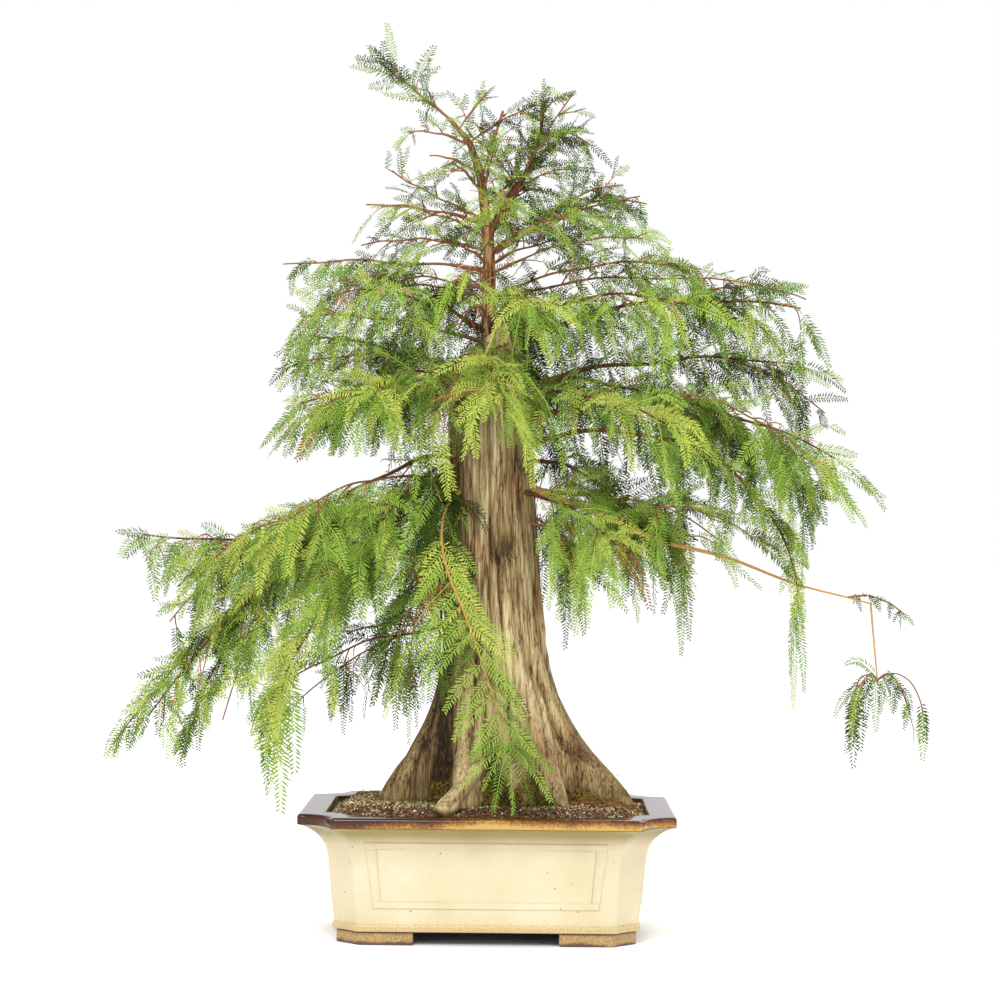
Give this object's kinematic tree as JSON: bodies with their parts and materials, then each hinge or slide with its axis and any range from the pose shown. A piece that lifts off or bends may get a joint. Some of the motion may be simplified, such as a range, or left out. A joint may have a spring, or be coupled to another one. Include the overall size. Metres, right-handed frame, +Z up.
{
  "type": "bald cypress bonsai in a glazed pot",
  "caption": "Weeping bald cypress bonsai with a thick flared trunk, long drooping sprays of needles and a cream glazed rectangular pot with indented corners.",
  "frame": {"origin": "middle of the whole plant's box, on the level that the pot's feet stand on", "axes": "+Z up along the trunk, +X to the right along the pot's long side, +Y away from the viewer"},
  "size_m": [0.9008, 0.6209, 0.9906],
  "materials": {
    "cream_glaze": "gloss cream glaze, breaking to brown at the rim",
    "foot_glaze": "tan glaze worn to the clay",
    "soil_grit": "mixed grit and moss, matt",
    "bark": "fibrous grey-brown bark, matt",
    "bough_bark": "reddish brown bark, matt",
    "needles": "soft fresh green needles, satin"
  },
  "bodies": {
    "root": {"pot": "cream_glaze", "pot_foot_front_left": "foot_glaze", "pot_foot_front_right": "foot_glaze", "pot_foot_back_left": "foot_glaze", "pot_foot_back_right": "foot_glaze", "soil": "soil_grit", "trunk": "bark", "bough_left_low": "bough_bark", "bough_left_sweep": "bough_bark", "bough_left_fall": "bough_bark", "bough_left_arch": "bough_bark", "bough_front_fall": "bough_bark", "bough_right_low": "bough_bark", "bough_right_tail": "bough_bark", "bough_right_column": "bough_bark", "bough_right_mid": "bough_bark", "bough_right_fork": "bough_bark", "bough_left_mid": "bough_bark", "bough_left_upper": "bough_bark", "bough_right_high": "bough_bark", "bough_back_low_right": "bough_bark", "bough_back_low_left": "bough_bark", "mass_left_low": "needles", "mass_left_sweep": "needles", "mass_left_fall": "needles", "mass_left_arch": "needles", "mass_left_inner": "needles", "mass_front_fall": "needles", "mass_right_tuft": "needles", "mass_right_tip": "needles", "mass_right_drop": "needles", "mass_right_inner": "needles", "mass_right_column": "needles", "mass_right_mid": "needles", "mass_right_front": "needles", "mass_right_fork": "needles", "mass_left_mid": "needles", "mass_left_upper": "needles", "mass_left_front": "needles", "mass_front_mid": "needles", "mass_right_high": "needles", "mass_right_shoulder": "needles", "mass_front_high": "needles", "mass_left_crown": "needles", "mass_left_shoot": "needles", "mass_back_low_right": "needles", "mass_back_low": "needles", "mass_back_low_left": "needles", "mass_back_mid_right": "needles", "mass_back_mid": "needles", "mass_back_mid_left": "needles", "mass_back_high": "needles", "mass_top_plume": "needles", "mass_top_left": "needles", "mass_top_right": "needles", "mass_top_right_side": "needles", "mass_top_front": "needles", "mass_top_back": "needles"}
  },
  "joints": []
}
